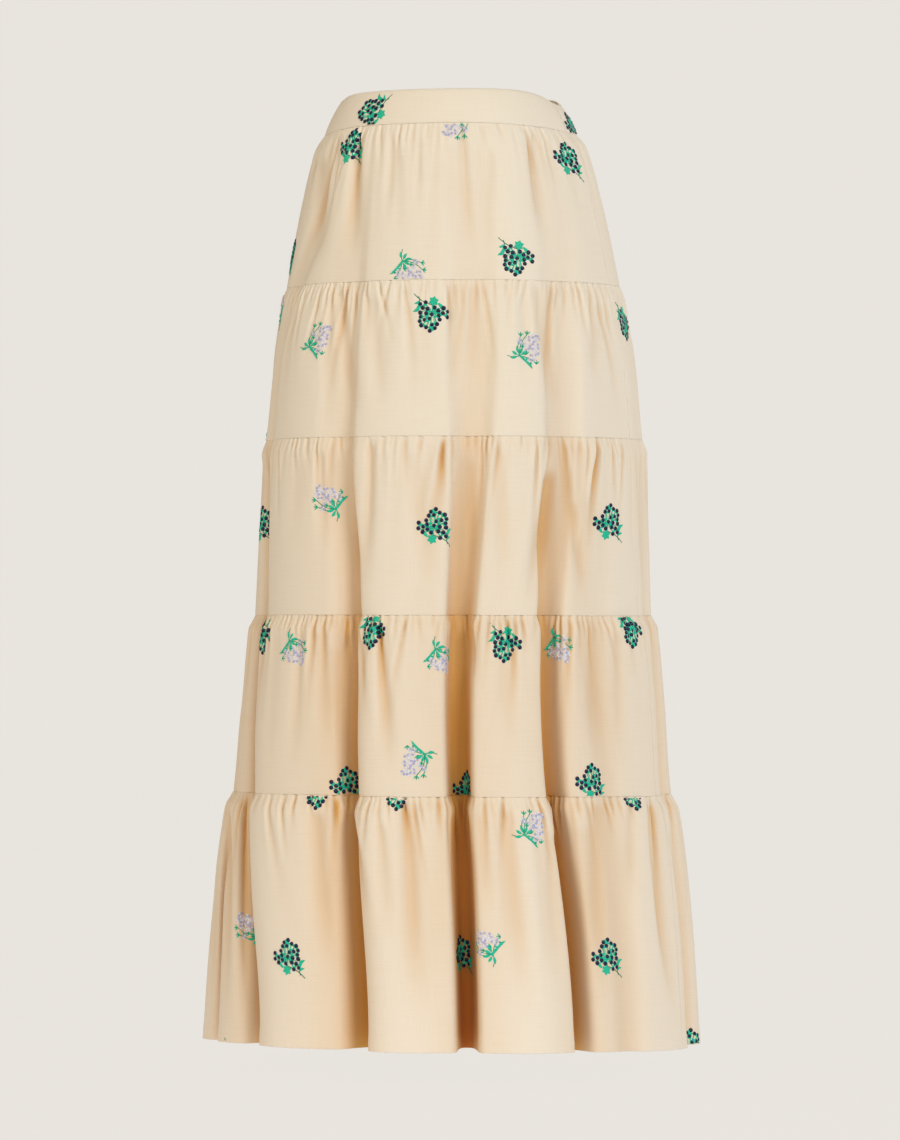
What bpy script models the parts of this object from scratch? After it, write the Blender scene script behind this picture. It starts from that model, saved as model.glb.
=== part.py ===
# Tiered maxi skirt, worn shape: a straight waistband and five gathered tiers.
# Metres, +Z up, the wearer faces -Y and the wearer's left is +X.
# The origin is the middle of the waist opening, half way up the waistband.
# Every cloth piece is a thin closed wall that follows one shared surface, so seams meet.
# An angle on the skirt is in degrees round from the front, positive to the wearer's left.

import math

import bmesh
import bpy
from mathutils import Matrix, Vector

MM = 0.001

# Cloth and seams, in millimetres.
CLOTH = 1.2
SEAM_GAP = 0.3
ZIP_SLOT = 1.8

# The skirt sits turned a little on the waist, so its side seams are not at the widest points.
LEFT_SEAM = 79.0
RIGHT_SEAM = LEFT_SEAM - 180.0
BACK_END = LEFT_SEAM + 180.0

# Outer form at each height: half width and half depth of the ring, its shift towards the back,
# how far the sides drop below the front and how sharply, and the depth and half width of the folds.
SECTION_COLUMNS = ("height", "half_width", "half_depth", "shift", "drop", "power", "fold_depth", "fold_width")
SECTIONS = (
    (17.5, 111.5, 85.0, 0.0, 11.0, 10.0, 0.0, 17.0),
    (-17.5, 128.5, 98.0, 1.0, 6.0, 4.0, 0.0, 17.0),
    (-32.0, 138.0, 104.0, 2.0, 5.5, 4.0, 1.5, 17.0),
    (-86.0, 155.0, 117.0, 5.0, 3.5, 4.0, 4.0, 17.0),
    (-173.0, 173.5, 133.0, 7.0, 1.5, 4.0, 6.5, 16.0),
    (-190.0, 177.0, 136.5, 7.0, 1.5, 4.0, 7.0, 16.0),
    (-246.0, 188.5, 147.0, 7.0, 1.0, 4.0, 9.5, 15.0),
    (-326.0, 196.5, 157.0, 6.0, 1.0, 4.0, 12.5, 14.0),
    (-342.0, 199.0, 160.0, 6.0, 1.0, 4.0, 13.5, 14.0),
    (-406.0, 203.0, 165.0, 5.0, 1.0, 4.0, 20.0, 13.0),
    (-500.0, 206.0, 171.0, 4.0, 1.5, 4.0, 26.0, 12.0),
    (-516.0, 211.0, 176.0, 4.0, 1.5, 4.0, 29.0, 12.0),
    (-586.0, 219.5, 184.0, 3.0, 2.0, 4.0, 36.0, 11.5),
    (-675.0, 226.0, 190.0, 2.0, 3.0, 4.0, 42.0, 11.0),
    (-694.0, 232.0, 196.0, 2.0, 3.0, 4.0, 45.0, 11.0),
    (-786.0, 246.0, 207.0, 1.0, 4.0, 4.0, 51.0, 11.5),
    (-919.0, 255.5, 215.0, 0.0, 6.0, 4.0, 58.0, 12.5),
)

# Hanging folds: the angle of each valley at four heights, its share of the fold depth, its share
# of the fold width before and after its bottom and again at the hem, and its lean, how far the
# bottom of the valley slips sideways under the next lobe.
FOLD_HEIGHTS = (("tier_1", -86.0), ("tier_2", -246.0), ("tier_4", -586.0), ("hem", -919.0))
FOLD_COLUMNS = ("tier_1", "tier_2", "tier_4", "hem", "depth", "before", "after", "hem_width", "lean")
FOLD_ROWS = (
    (-87.0, -85.0, -86.0, -79.0, 0.70, 1.0, 1.0, 1.0, -3.0),
    (-70.0, -74.0, -72.0, -60.0, 0.55, 1.1, 0.8, 1.0, 5.0),
    (-46.0, -60.0, -55.5, -40.0, 0.95, 1.5, 0.8, 1.1, 10.0),
    (-24.0, -22.0, -15.0, -8.5, 1.00, 2.1, 0.8, 1.0, 9.0),
    (18.0, 19.0, 15.5, 17.5, 1.10, 1.5, 1.5, 0.8, -2.0),
    (54.0, 48.0, 41.5, 46.0, 0.95, 1.2, 1.4, 0.8, -7.0),
    (67.0, 66.0, 58.0, 59.0, 0.20, 1.5, 1.5, 1.0, 0.0),
    (92.0, 90.0, 89.0, 88.0, 0.30, 1.3, 1.3, 1.0, 4.0),
    (108.0, 106.0, 106.0, 108.0, 0.90, 0.9, 1.5, 1.0, -8.0),
    (128.0, 128.0, 131.0, 134.0, 1.00, 1.6, 0.9, 0.9, 5.0),
    (151.0, 152.0, 156.0, 159.0, 0.80, 0.9, 1.2, 1.1, -4.0),
    (176.0, 177.0, 179.0, 182.0, 1.10, 1.7, 0.9, 0.9, 6.0),
    (200.0, 201.0, 203.0, 205.0, 0.75, 1.2, 1.4, 0.9, -6.0),
    (222.0, 223.0, 225.0, 227.0, 1.00, 1.6, 0.8, 1.0, 8.0),
    (243.0, 243.0, 244.0, 248.0, 0.70, 1.0, 1.2, 1.0, 0.0),
)
FOLDS = [dict(zip(FOLD_COLUMNS, row)) for row in FOLD_ROWS]

# Shape of a fold: the share of its depth in the steep trough and in the wide shallow one, how much
# wider the shallow one is, and how far and where the edges of the lobes overhang the trough.
TROUGH_SHARE = 0.82
SHALLOW_WIDTH = 2.6
OVERHANG = 0.42
OVERHANG_PLACE = 1.35
OVERHANG_WIDTH = 0.45
FULL_DEPTH = 30.0
FOLD_REACH = 7.0

# Each tier: its seams, how many gathers it has all round and mesh columns to a gather,
# how far a gather stands out and runs down, and the distance of each mesh row below the seam.
TIER_COLUMNS = ("top", "bottom", "gathers", "columns", "rise", "reach", "rows")
TIERS = (
    (-17.5, -173.0, 32, 3, 2.6, 58.0, (14.0, 60.0)),
    (-173.0, -326.0, 36, 3, 2.8, 52.0, (14.0, 60.0)),
    (-326.0, -500.0, 40, 4, 3.0, 56.0, (14.0, 66.0)),
    (-500.0, -675.0, 44, 4, 3.6, 58.0, (16.0, 70.0)),
    (-675.0, -919.0, 48, 4, 4.8, 74.0, (18.0, 66.0, 142.0)),
)
BAND_TOP = 17.5
BAND_BOTTOM = -17.5
BAND_COLUMNS = 36

# Zip in the right side seam, in millimetres.
ZIP_TOP = 1.2
ZIP_BOTTOM = -150.0
TAPE_HALF = 8.0
TAPE_THICK = 0.8
COIL_HALF = 2.2
COIL_THICK = 2.0
TAPE_CLEAR = 0.7
SLIDER_HEIGHT = 8.0
SLIDER_SIZE = (8.0, 11.0, 4.0)
SLIDER_BEVEL = 0.9
NECK_THICK = 1.1
NECK_HALF = 1.6
BAIL_RADIUS = 2.3
BAIL_HOLE = 1.2
BAIL_OUT = 2.2
BAIL_ARC = (-40.0, 220.0)
BAR_RADIUS = 0.7
TAB_LENGTH = 21.0
TAB_HALF = 2.6
TAB_THICK = 1.0
TAB_ROUND = 2.0
YOKE_INNER = 1.0
YOKE_OUTER = 2.2
YOKE_BEHIND = 0.9
YOKE_CLEAR = 0.6
BAIL_STEPS = 14
HOLE_SIDES = 12
BAR_SIDES = 8
TAB_STEPS = 10

# Gathers: the smallest share of their rise and what chance adds, the same for how far they run
# down, the share that is there right at the seam, where they reach their full rise, how many mesh
# columns they fade over at a side seam, and the step between the two rows of chance numbers.
GATHER_RISE = (0.55, 0.9)
GATHER_REACH = (0.6, 0.8)
GATHER_START = 0.35
GATHER_FULL = 14.0
GATHER_EDGE = 3.0
REACH_CHANCE = 7

# Colours are linear RGB.
CREAM = (0.80, 0.68, 0.50)
NICKEL = (0.62, 0.60, 0.56)
CLOTH_ROUGH = 0.85
TAPE_ROUGH = 0.7
NICKEL_ROUGH = 0.32
CLOTH_SHARP = 60.0
METAL_SHARP = 40.0


def clear_scene():
    for obj in list(bpy.data.objects):
        bpy.data.objects.remove(obj, do_unlink=True)


def smooth(value):
    value = min(max(value, 0.0), 1.0)
    return value * value * (3.0 - 2.0 * value)


def section(height):
    """Values of the outer form at a height, on straight lines between the table's rows."""
    for upper, lower in zip(SECTIONS, SECTIONS[1:]):
        if height >= lower[0]:
            break
    share = (upper[0] - height) / (upper[0] - lower[0])
    share = min(max(share, 0.0), 1.0)
    values = [a + (b - a) * share for a, b in zip(upper, lower)]
    return dict(zip(SECTION_COLUMNS, values))


def fold_angle(fold, height):
    """Angle of a valley at a height, eased between the four heights of the table."""
    for (above, upper), (beneath, lower) in zip(FOLD_HEIGHTS, FOLD_HEIGHTS[1:]):
        if height >= lower:
            share = smooth((upper - height) / (upper - lower))
            return fold[above] + (fold[beneath] - fold[above]) * share
    return fold["hem"]


def fold_width(fold, height, offset):
    """Share of the fold width on one side of a valley, which changes from tier 4 to the hem."""
    upper, lower = FOLD_HEIGHTS[-2][1], FOLD_HEIGHTS[-1][1]
    share = smooth((upper - height) / (upper - lower))
    width = fold["before"] if offset < 0.0 else fold["after"]
    return width * (1.0 + (fold["hem_width"] - 1.0) * share)


def valley(x):
    """Depth profile across a valley: a steep trough in a wide shallow one."""
    shallow = math.exp(-(x / SHALLOW_WIDTH) ** 2)
    return TROUGH_SHARE * math.exp(-x * x) + (1.0 - TROUGH_SHARE) * shallow


def shoulder(x):
    """Sideways pull of a lobe's rounded edge towards the valley beside it."""
    return -math.copysign(math.exp(-((abs(x) - OVERHANG_PLACE) / OVERHANG_WIDTH) ** 2), x)


def surface(angle, height):
    """Outer surface without gathers: a point in millimetres at an angle and a height."""
    form = section(height)
    turn = math.radians(angle)
    wide, deep = form["half_width"], form["half_depth"]
    sine, cosine = math.sin(turn), math.cos(turn)
    radius = math.hypot(wide * cosine, deep * sine)
    normal = Vector((deep * sine, -wide * cosine)).normalized()
    along = Vector((wide * cosine, deep * sine)) / radius
    inward = 0.0
    sideways = 0.0
    for fold in FOLDS:
        offset = (angle - fold_angle(fold, height) + 180.0) % 360.0 - 180.0
        width = form["fold_width"] * fold_width(fold, height, offset)
        x = math.radians(offset) * radius / width
        if abs(x) > FOLD_REACH:
            continue
        share = valley(x)
        depth = form["fold_depth"] * fold["depth"]
        steep = min(depth / FULL_DEPTH, 1.0)
        inward += depth * share
        sideways += OVERHANG * width * steep * shoulder(x)
        sideways += fold["lean"] * steep * share
    point = Vector((wide * sine, form["shift"] - deep * cosine))
    point += along * sideways - normal * inward
    drop = form["drop"] * abs(sine) ** form["power"]
    return Vector((point.x, point.y, height - drop))


def anchors(start, end, height):
    """Angles of the piece's two edges and of the valleys between them."""
    marks = [start]
    for fold in FOLDS:
        angle = fold_angle(fold, height)
        if angle < start:
            angle += 360.0
        if start < angle < end:
            marks.append(angle)
    marks.append(end)
    return sorted(marks)


def run(start, end, height, steps=40):
    """Points of one stretch of a ring, close together."""
    return [surface(start + (end - start) * i / steps, height) for i in range(steps + 1)]


def run_length(points):
    return sum((b - a).length for a, b in zip(points, points[1:]))


def share_columns(start, end, height, total):
    """How many mesh columns each stretch between valleys gets, by its length of cloth."""
    marks = anchors(start, end, height)
    lengths = [run_length(run(a, b, height)) for a, b in zip(marks, marks[1:])]
    whole = sum(lengths)
    counts = []
    used = 0
    walked = 0.0
    for length in lengths:
        walked += length
        goal = round(total * walked / whole)
        count = max(goal - used, 1)
        counts.append(count)
        used += count
    counts[-1] += total - used
    return counts


def ring(start, end, height, counts):
    """Evenly spaced points along the cloth of one ring, with one in each valley."""
    marks = anchors(start, end, height)
    points = []
    for (a, b), count in zip(zip(marks, marks[1:]), counts):
        fine = run(a, b, height)
        step = run_length(fine) / count
        walked = 0.0
        points.append(fine[0])
        goal = step
        for p, q in zip(fine, fine[1:]):
            length = (q - p).length
            while walked + length >= goal - 1e-6 and goal < step * (count - 0.5):
                points.append(p.lerp(q, (goal - walked) / length))
                goal += step
            walked += length
    points.append(surface(end, height))
    return points


def outward(points, i):
    """Level normal of a ring at one of its points, away from the wearer."""
    before = points[max(i - 1, 0)]
    after = points[min(i + 1, len(points) - 1)]
    run_of = after - before
    return Vector((run_of.y, -run_of.x, 0.0)).normalized()


def uneven(i, j=0):
    """A repeatable number from 0 to 1 for gather i of tier j."""
    value = math.sin(12.9898 * (i + 1) + 78.233 * (j + 1)) * 43758.5453
    return value - math.floor(value)


def gather_wave(column, tier, index, below, total):
    """How far a gather stands out at a mesh column and a distance below its seam."""
    each = tier["columns"]
    gather = column // each
    phase = 2.0 * math.pi * (column % each) / each
    size = GATHER_RISE[0] + GATHER_RISE[1] * uneven(gather, index)
    reach = tier["reach"] * (GATHER_REACH[0] + GATHER_REACH[1] * uneven(gather, index + REACH_CHANCE))
    start = GATHER_START + (1.0 - GATHER_START) * smooth(below / GATHER_FULL)
    fade = math.exp(-(below / reach) ** 2)
    edge = smooth(min(column, total - column) / GATHER_EDGE)
    return tier["rise"] * size * start * fade * edge * math.cos(phase)


def thicken(points):
    """Inner line of a wall: each point of a ring moved in by the cloth's thickness."""
    return [p - outward(points, i) * CLOTH for i, p in enumerate(points)]


def wall_mesh(name, rows):
    """Closed wall from rows of outer points, top to bottom, with its inner side and edges."""
    mesh = bmesh.new()
    outer = [[mesh.verts.new(p * MM) for p in row] for row in rows]
    inner = [[mesh.verts.new(p * MM) for p in thicken(row)] for row in rows]
    last = len(rows[0]) - 1
    for r in range(len(rows) - 1):
        for c in range(last):
            mesh.faces.new((outer[r][c], outer[r + 1][c], outer[r + 1][c + 1], outer[r][c + 1]))
            mesh.faces.new((inner[r][c], inner[r][c + 1], inner[r + 1][c + 1], inner[r + 1][c]))
    for c in range(last):
        mesh.faces.new((outer[0][c], outer[0][c + 1], inner[0][c + 1], inner[0][c]))
        mesh.faces.new((outer[-1][c], inner[-1][c], inner[-1][c + 1], outer[-1][c + 1]))
    for r in range(len(rows) - 1):
        mesh.faces.new((outer[r][0], inner[r][0], inner[r + 1][0], outer[r + 1][0]))
        mesh.faces.new((outer[r][-1], outer[r + 1][-1], inner[r + 1][-1], inner[r][-1]))
    data = bpy.data.meshes.new(name)
    mesh.to_mesh(data)
    mesh.free()
    return data


def trim_edges(points, at_start, at_end):
    """Shortens a ring at its two edges, so pieces stand apart at the side seams."""
    points = list(points)
    first = points[1] - points[0]
    last = points[-2] - points[-1]
    points[0] = points[0] + first.normalized() * at_start
    points[-1] = points[-1] + last.normalized() * at_end
    return points


def material(name, colour, roughness, metallic=0.0):
    made = bpy.data.materials.new(name)
    made.use_nodes = True
    shader = made.node_tree.nodes["Principled BSDF"]
    shader.inputs["Base Color"].default_value = (*colour, 1.0)
    shader.inputs["Roughness"].default_value = roughness
    shader.inputs["Metallic"].default_value = metallic
    return made


def add_object(name, data, colour, roughness, metallic=0.0):
    obj = bpy.data.objects.new(name, data)
    data.materials.append(material(name, colour, roughness, metallic))
    bpy.context.scene.collection.objects.link(obj)
    return obj


def shade(obj, degrees=CLOTH_SHARP):
    obj.data.shade_smooth()
    obj.data.set_sharp_from_angle(angle=math.radians(degrees))


def panel(side):
    """Start and end angles of the front or the back, and which edge lies at the zip."""
    if side == "front":
        return RIGHT_SEAM, LEFT_SEAM
    return LEFT_SEAM, BACK_END


def waistband(side):
    """One half of the waistband, a plain strip of cloth that widens downwards."""
    start, end = panel(side)
    plain = SEAM_GAP / 2.0
    slot = ZIP_SLOT / 2.0
    trims = (slot, plain) if side == "front" else (plain, slot)
    counts = share_columns(start, end, BAND_BOTTOM, BAND_COLUMNS)
    rows = []
    for height in (BAND_TOP, BAND_BOTTOM + SEAM_GAP / 2.0):
        rows.append(trim_edges(ring(start, end, height, counts), *trims))
    band = add_object("waistband_" + side, wall_mesh("waistband_" + side, rows), CREAM, CLOTH_ROUGH)
    shade(band)


def tier(index, side):
    """One half of a tier: gathered under its seam, then hanging in folds."""
    values = dict(zip(TIER_COLUMNS, TIERS[index]))
    start, end = panel(side)
    total = values["gathers"] * values["columns"] // 2
    counts = share_columns(start, end, values["bottom"], total)
    last = index == len(TIERS) - 1
    length = values["top"] - values["bottom"]
    gap = SEAM_GAP / 2.0
    distances = [gap, *values["rows"], length if last else length - gap]
    rows = []
    for below in distances:
        smooth_row = ring(start, end, values["top"] - below, counts)
        row = []
        for column, point in enumerate(smooth_row):
            wave = gather_wave(column, values, index, below, total)
            row.append(point + outward(smooth_row, column) * wave)
        rows.append(trim_edges(row, gap, gap))
    name = "tier_%d_%s" % (index + 1, side)
    shade(add_object(name, wall_mesh(name, rows), CREAM, CLOTH_ROUGH))


def zip_frame():
    """Place of the slider on the waistband's outer face: point, across, down the band, outward."""
    top = surface(RIGHT_SEAM, BAND_TOP)
    bottom = surface(RIGHT_SEAM, BAND_BOTTOM)
    down = (bottom - top).normalized()
    level = surface(RIGHT_SEAM + 2.0, BAND_TOP) - surface(RIGHT_SEAM - 2.0, BAND_TOP)
    across = Vector((level.x, level.y, 0.0)).normalized()
    out = across.cross(down).normalized()
    if out.dot(top) < 0.0:
        across, out = -across, -out
    share = (BAND_TOP - SLIDER_HEIGHT) / (BAND_TOP - BAND_BOTTOM)
    return top.lerp(bottom, share), across, down, out


def zip_matrix():
    """Turns the zip's own axes (across, down, outward) into the skirt's."""
    place, across, down, out = zip_frame()
    down = out.cross(across)
    turn = Matrix((across, down, out)).transposed().to_4x4()
    return Matrix.Translation(place * MM) @ turn @ Matrix.Scale(MM, 4)


def block(mesh, size, centre):
    made = bmesh.ops.create_cube(mesh, size=1.0)["verts"]
    bmesh.ops.scale(mesh, vec=size, verts=made)
    bmesh.ops.translate(mesh, vec=centre, verts=made)
    return made


def plate(mesh, outline, low, high, axis):
    """Extrudes a flat outline from low to high along an axis of the zip."""
    def spot(u, v, w):
        return (w, u, v) if axis == "across" else (u, v, w)
    lower = [mesh.verts.new(spot(u, v, low)) for u, v in outline]
    upper = [mesh.verts.new(spot(u, v, high)) for u, v in outline]
    count = len(outline)
    faces = [mesh.faces.new(reversed(lower)), mesh.faces.new(upper)]
    for i in range(count):
        after = (i + 1) % count
        faces.append(mesh.faces.new((lower[i], lower[after], upper[after], upper[i])))
    bmesh.ops.recalc_face_normals(mesh, faces=faces)


def arc(centre, radius, start, end, steps):
    """Points on an arc, in degrees from the first axis of its plane."""
    points = []
    for i in range(steps + 1):
        turn = math.radians(start + (end - start) * i / steps)
        points.append((centre[0] + radius * math.cos(turn), centre[1] + radius * math.sin(turn)))
    return points


def zip_metal(name, mesh):
    """Finished metal piece of the zip, set in its place at the waistband."""
    data = bpy.data.meshes.new(name)
    bmesh.ops.recalc_face_normals(mesh, faces=mesh.faces)
    mesh.to_mesh(data)
    mesh.free()
    data.transform(zip_matrix())
    return add_object(name, data, NICKEL, NICKEL_ROUGH, 1.0)


def combine(obj, other, operation):
    """Joins another closed piece to this one, or cuts it away, as a single body."""
    change = obj.modifiers.new("change", "BOOLEAN")
    change.operation = operation
    change.solver = "EXACT"
    change.object = other
    bpy.context.view_layer.update()
    graph = bpy.context.evaluated_depsgraph_get()
    changed = bpy.data.meshes.new_from_object(obj.evaluated_get(graph))
    obj.modifiers.clear()
    obj.data = changed
    bpy.data.objects.remove(other, do_unlink=True)


def circle(centre, radius, sides):
    return arc(centre, radius, 0.0, 360.0 * (sides - 1) / sides, sides - 1)


def zip_slider():
    """Slider behind the band, its neck through the slot and the bail outside."""
    body = bmesh.new()
    inside = -(CLOTH + TAPE_CLEAR + SLIDER_SIZE[2] / 2.0)
    made = block(body, SLIDER_SIZE, (0.0, 0.0, inside))
    edges = list({edge for vert in made for edge in vert.link_edges})
    bmesh.ops.bevel(body, geom=edges, offset=SLIDER_BEVEL, segments=2, affect="EDGES", profile=0.5)
    slider = zip_metal("zip_slider", body)
    # The bail's outline in the plane of down and outward: a round loop on the neck.
    middle = (0.0, BAIL_OUT)
    bail = bmesh.new()
    outline = [(-NECK_HALF, inside), (NECK_HALF, inside)]
    outline += arc(middle, BAIL_RADIUS, *BAIL_ARC, BAIL_STEPS)
    plate(bail, outline, -NECK_THICK / 2.0, NECK_THICK / 2.0, "across")
    loop = zip_metal("bail", bail)
    hole = bmesh.new()
    plate(hole, circle(middle, BAIL_HOLE, HOLE_SIDES), -NECK_THICK, NECK_THICK, "across")
    combine(loop, zip_metal("hole", hole), "DIFFERENCE")
    combine(slider, loop, "UNION")
    shade(slider, METAL_SHARP)


def zip_pull():
    """Pull tab: a yoke round the bail, its bar through the bail's hole, and a slim plate."""
    mouth = BAIL_RADIUS + YOKE_CLEAR
    low = BAIL_OUT - TAB_THICK / 2.0
    high = BAIL_OUT + TAB_THICK / 2.0
    # The tab's outline, across and down, goes round the open mouth of the yoke.
    outline = [(-YOKE_OUTER, -YOKE_BEHIND), (-YOKE_INNER, -YOKE_BEHIND), (-YOKE_INNER, mouth)]
    outline += [(YOKE_INNER, mouth), (YOKE_INNER, -YOKE_BEHIND), (YOKE_OUTER, -YOKE_BEHIND)]
    outline += arc((0.0, TAB_LENGTH - TAB_ROUND), TAB_HALF, 0.0, 180.0, TAB_STEPS)
    yoke = bmesh.new()
    plate(yoke, outline, low, high, "out")
    tab = zip_metal("zip_pull", yoke)
    bar = bmesh.new()
    reach = (YOKE_INNER + YOKE_OUTER) / 2.0
    plate(bar, circle((0.0, BAIL_OUT), BAR_RADIUS, BAR_SIDES), -reach, reach, "across")
    combine(tab, zip_metal("bar", bar), "UNION")
    shade(tab, METAL_SHARP)


def zip_tape():
    """Closed zip behind the seam: two tapes and the coil between them, as one strip."""
    first = dict(zip(TIER_COLUMNS, TIERS[0]))
    heights = [ZIP_TOP, BAND_BOTTOM]
    heights += [first["top"] - below for below in first["rows"]]
    heights.append(ZIP_BOTTOM)
    lanes = (-TAPE_HALF, -COIL_HALF, COIL_HALF, TAPE_HALF)
    bodies = bmesh.new()
    loops = []
    for height in heights:
        upper, lower = chord_rows(height)
        outer = []
        inner = []
        for lane in lanes:
            point, normal = seam_point(lane, height, upper, lower)
            thick = COIL_THICK if abs(lane) <= COIL_HALF else TAPE_THICK
            outer.append(point - normal * (CLOTH + TAPE_CLEAR))
            inner.append(point - normal * (CLOTH + TAPE_CLEAR + thick))
        loops.append([bodies.verts.new(p * MM) for p in outer + inner[::-1]])
    for a, b in zip(loops, loops[1:]):
        for i in range(len(a)):
            after = (i + 1) % len(a)
            bodies.faces.new((a[i], a[after], b[after], b[i]))
    bodies.faces.new(loops[0])
    bodies.faces.new(reversed(loops[-1]))
    bmesh.ops.recalc_face_normals(bodies, faces=bodies.faces)
    data = bpy.data.meshes.new("zip_tape")
    bodies.to_mesh(data)
    bodies.free()
    add_object("zip_tape", data, CREAM, TAPE_ROUGH)


def chord_rows(height):
    """Mesh rows of the waistband or the first tier above and below a height."""
    first = dict(zip(TIER_COLUMNS, TIERS[0]))
    stations = [BAND_TOP, BAND_BOTTOM, *(first["top"] - below for below in first["rows"]), first["bottom"]]
    for upper, lower in zip(stations, stations[1:]):
        if height >= lower:
            return upper, lower
    return stations[-2], stations[-1]


def seam_point(lane, height, upper, lower):
    """Point of the straight wall between two mesh rows, a little to one side of the zip."""
    share = (upper - height) / (upper - lower)
    points = []
    for row in (upper, lower):
        form = section(row)
        angle = RIGHT_SEAM + math.degrees(lane / form["half_depth"])
        points.append(surface(angle, row))
    here = points[0].lerp(points[1], share)
    slope = (points[1] - points[0]).normalized()
    beside = surface(RIGHT_SEAM + math.degrees((lane + 1.0) / section(upper)["half_depth"]), upper)
    level = beside - points[0]
    normal = slope.cross(Vector((level.x, level.y, 0.0))).normalized()
    flat = Vector((here.x, here.y, 0.0))
    if normal.dot(flat) < 0.0:
        normal = -normal
    return here, normal


def build():
    clear_scene()
    for side in ("front", "back"):
        waistband(side)
        for index in range(len(TIERS)):
            tier(index, side)
    zip_tape()
    zip_slider()
    zip_pull()


build()
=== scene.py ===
import math
import random
import bpy
import numpy as np
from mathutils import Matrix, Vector


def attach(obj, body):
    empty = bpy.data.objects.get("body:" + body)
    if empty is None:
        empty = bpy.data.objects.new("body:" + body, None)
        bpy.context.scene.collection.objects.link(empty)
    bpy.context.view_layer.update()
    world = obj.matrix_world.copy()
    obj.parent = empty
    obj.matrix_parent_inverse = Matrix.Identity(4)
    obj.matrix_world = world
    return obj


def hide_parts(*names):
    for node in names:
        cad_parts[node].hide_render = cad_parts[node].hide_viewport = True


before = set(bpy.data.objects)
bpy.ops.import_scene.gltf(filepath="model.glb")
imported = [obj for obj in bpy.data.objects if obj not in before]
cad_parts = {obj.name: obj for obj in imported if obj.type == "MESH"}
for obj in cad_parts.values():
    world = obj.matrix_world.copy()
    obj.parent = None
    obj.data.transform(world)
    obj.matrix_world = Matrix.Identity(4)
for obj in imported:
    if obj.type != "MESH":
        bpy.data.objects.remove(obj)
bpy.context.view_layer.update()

# Tiered maxi skirt. Lengths are millimetres, turned to metres where a mesh is made.
# Angles are degrees round the skirt from its front, positive to the wearer's left.
mm = 0.001

view = {
    "azimuth": 16.0,  # the skirt is seen a little from the wearer's left
    "centreHeight": -456.0,
    "distance": 5000.0,
    "frameWide": 900,
    "frameHigh": 1140,
    "sensor": 36.0,
}

# The skirt's outer form: the same sections and hanging folds as its solids.
form = {
    "leftSeam": 79.0,
    "columns": ("height", "halfWidth", "halfDepth", "shift", "drop", "power", "foldDepth", "foldWidth"),
    "sections": (
        (17.5, 111.5, 85, 0, 11, 10, 0, 17),
        (-17.5, 128.5, 98, 1, 6, 4, 0, 17),
        (-32, 138, 104, 2, 5.5, 4, 1.5, 17),
        (-86, 155, 117, 5, 3.5, 4, 4, 17),
        (-173, 173.5, 133, 7, 1.5, 4, 6.5, 16),
        (-190, 177, 136.5, 7, 1.5, 4, 7, 16),
        (-246, 188.5, 147, 7, 1, 4, 9.5, 15),
        (-326, 196.5, 157, 6, 1, 4, 12.5, 14),
        (-342, 199, 160, 6, 1, 4, 13.5, 14),
        (-406, 203, 165, 5, 1, 4, 20, 13),
        (-500, 206, 171, 4, 1.5, 4, 26, 12),
        (-516, 211, 176, 4, 1.5, 4, 29, 12),
        (-586, 219.5, 184, 3, 2, 4, 36, 11.5),
        (-675, 226, 190, 2, 3, 4, 42, 11),
        (-694, 232, 196, 2, 3, 4, 45, 11),
        (-786, 246, 207, 1, 4, 4, 51, 11.5),
        (-919, 255.5, 215, 0, 6, 4, 58, 12.5),
    ),
    "foldHeights": (-86.0, -246.0, -586.0, -919.0),
    "steepPart": 0.82,  # this share of a fold is steep, the rest spreads wide
    "spreadWidth": 2.6,
    "fullDepth": 30.0,  # from this depth on a fold leans and its lobes overhang in full
    "overhang": 0.42,
    "overhangAt": (1.35, 0.45),  # middle and width of the overhang, in widths of the fold
    # Valley angle at four heights, share of depth, share of width before and after the bottom
    # and again at the hem, lean under the next lobe, and how steep the sides are over a flat bottom.
    "foldColumns": ("tier1", "tier2", "tier4", "hem", "depth", "before", "after", "hemWidth",
                    "lean", "steep"),
    "folds": (
        (-87, -85, -86, -79, 0.7, 1, 1, 1, -3, 2),
        (-70, -74, -72, -60, 0.55, 1.1, 0.8, 1, 5, 2),
        (-46, -60, -55.5, -40, 0.95, 1.5, 0.8, 1.1, 10, 2.4),
        (-24, -22, -15, -8.5, 1, 2.1, 0.8, 1, 9, 2),
        (18, 19, 15.5, 17.5, 1.1, 1.5, 1.5, 0.8, -2, 3.6),
        (54, 48, 41.5, 46, 0.95, 1.2, 1.4, 0.8, -7, 3),
        (67, 66, 58, 59, 0.2, 1.5, 1.5, 1, 0, 2),
        (92, 90, 89, 88, 0.3, 1.3, 1.3, 1, 4, 2),
        (108, 106, 106, 108, 0.9, 0.9, 1.5, 1, -8, 2),
        (128, 128, 131, 134, 1, 1.6, 0.9, 0.9, 5, 2.6),
        (151, 152, 156, 159, 0.8, 0.9, 1.2, 1.1, -4, 2),
        (176, 177, 179, 182, 1.1, 1.7, 0.9, 0.9, 6, 3),
        (200, 201, 203, 205, 0.75, 1.2, 1.4, 0.9, -6, 2),
        (222, 223, 225, 227, 1, 1.6, 0.8, 1, 8, 2.4),
        (243, 243, 244, 248, 0.7, 1, 1.2, 1, 0, 2),
    ),
}
folds = [dict(zip(form["foldColumns"], row)) for row in form["folds"]]

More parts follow.
